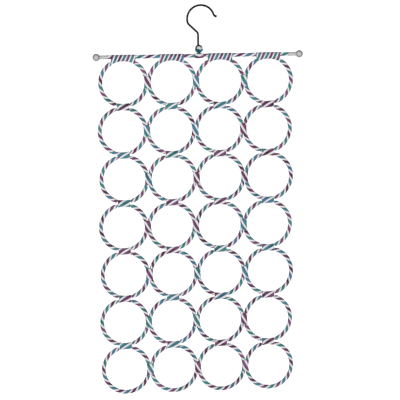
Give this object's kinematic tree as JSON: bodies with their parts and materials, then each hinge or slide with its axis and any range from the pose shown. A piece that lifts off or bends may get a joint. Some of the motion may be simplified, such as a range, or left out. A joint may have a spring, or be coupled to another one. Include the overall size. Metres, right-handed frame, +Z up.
{
  "type": "scarf hanger",
  "caption": "Folding hanger for scarves: a wire hook carries a bar and a grid of wound wire rings lashed together in rows.",
  "frame": {"origin": "the seat inside the top of the hook, where a rail bears", "axes": "+Z up along the hanging hanger, X along the bar, -Y towards the viewer, rings in the XZ plane"},
  "size_m": [0.348, 0.012, 0.6473],
  "materials": {
    "hook_wire": "glossy black plated steel wire",
    "bare_wire": "drawn steel wire",
    "clear_cap": "clear moulded plastic",
    "winding_strand": "satin plastic strand in teal, white and purple",
    "lashing_strand": "satin plastic strand in teal, white and purple"
  },
  "bodies": {
    "hook_part": {"hook": "hook_wire"},
    "bar_and_row_1": {"hook_lashing": "lashing_strand", "bar_rod": "bare_wire", "end_cap_left": "clear_cap", "end_cap_right": "clear_cap", "bar_winding": "winding_strand", "bar_lashings": "lashing_strand", "bar_lashing_strands": "lashing_strand", "ring_wires_row_1": "bare_wire", "winding_r1_c1": "winding_strand", "winding_r1_c2": "winding_strand", "winding_r1_c3": "winding_strand", "winding_r1_c4": "winding_strand", "side_lashings_row_1": "lashing_strand", "fold_lashings_1_2": "lashing_strand"},
    "row_2": {"ring_wires_row_2": "bare_wire", "winding_r2_c1": "winding_strand", "winding_r2_c2": "winding_strand", "winding_r2_c3": "winding_strand", "winding_r2_c4": "winding_strand", "side_lashings_row_2": "lashing_strand", "fold_lashings_2_3": "lashing_strand"},
    "row_3": {"ring_wires_row_3": "bare_wire", "winding_r3_c1": "winding_strand", "winding_r3_c2": "winding_strand", "winding_r3_c3": "winding_strand", "winding_r3_c4": "winding_strand", "side_lashings_row_3": "lashing_strand", "fold_lashings_3_4": "lashing_strand"},
    "row_4": {"ring_wires_row_4": "bare_wire", "winding_r4_c1": "winding_strand", "winding_r4_c2": "winding_strand", "winding_r4_c3": "winding_strand", "winding_r4_c4": "winding_strand", "side_lashings_row_4": "lashing_strand", "fold_lashings_4_5": "lashing_strand"},
    "row_5": {"ring_wires_row_5": "bare_wire", "winding_r5_c1": "winding_strand", "winding_r5_c2": "winding_strand", "winding_r5_c3": "winding_strand", "winding_r5_c4": "winding_strand", "side_lashings_row_5": "lashing_strand", "fold_lashings_5_6": "lashing_strand"},
    "row_6": {"ring_wires_row_6": "bare_wire", "winding_r6_c1": "winding_strand", "winding_r6_c2": "winding_strand", "winding_r6_c3": "winding_strand", "winding_r6_c4": "winding_strand", "side_lashings_row_6": "lashing_strand", "fold_lashings_6_7": "lashing_strand"},
    "row_7": {"ring_wires_row_7": "bare_wire", "winding_r7_c1": "winding_strand", "winding_r7_c2": "winding_strand", "winding_r7_c3": "winding_strand", "winding_r7_c4": "winding_strand", "side_lashings_row_7": "lashing_strand"}
  },
  "joints": [
    {"name": "hook_rock", "type": "hinge", "parent": "hook_part", "child": "bar_and_row_1", "pos_m": [-0.0033, 0, -0.07436], "axis": [-1, 0, 0], "range_deg": [-80, 80]},
    {"name": "fold_1_2", "type": "hinge", "parent": "bar_and_row_1", "child": "row_2", "pos_m": [-0.0093, 0, -0.16566], "axis": [1, 0, 0], "range_deg": [-90, 90]},
    {"name": "fold_2_3", "type": "hinge", "parent": "row_2", "child": "row_3", "pos_m": [-0.0093, 0, -0.24566], "axis": [-1, 0, 0], "range_deg": [-90, 90]},
    {"name": "fold_3_4", "type": "hinge", "parent": "row_3", "child": "row_4", "pos_m": [-0.0093, 0, -0.32566], "axis": [1, 0, 0], "range_deg": [-90, 90]},
    {"name": "fold_4_5", "type": "hinge", "parent": "row_4", "child": "row_5", "pos_m": [-0.0093, 0, -0.40566], "axis": [-1, 0, 0], "range_deg": [-90, 90]},
    {"name": "fold_5_6", "type": "hinge", "parent": "row_5", "child": "row_6", "pos_m": [-0.0093, 0, -0.48566], "axis": [1, 0, 0], "range_deg": [-90, 90]},
    {"name": "fold_6_7", "type": "hinge", "parent": "row_6", "child": "row_7", "pos_m": [-0.0093, 0, -0.56566], "axis": [-1, 0, 0], "range_deg": [-90, 90]}
  ]
}
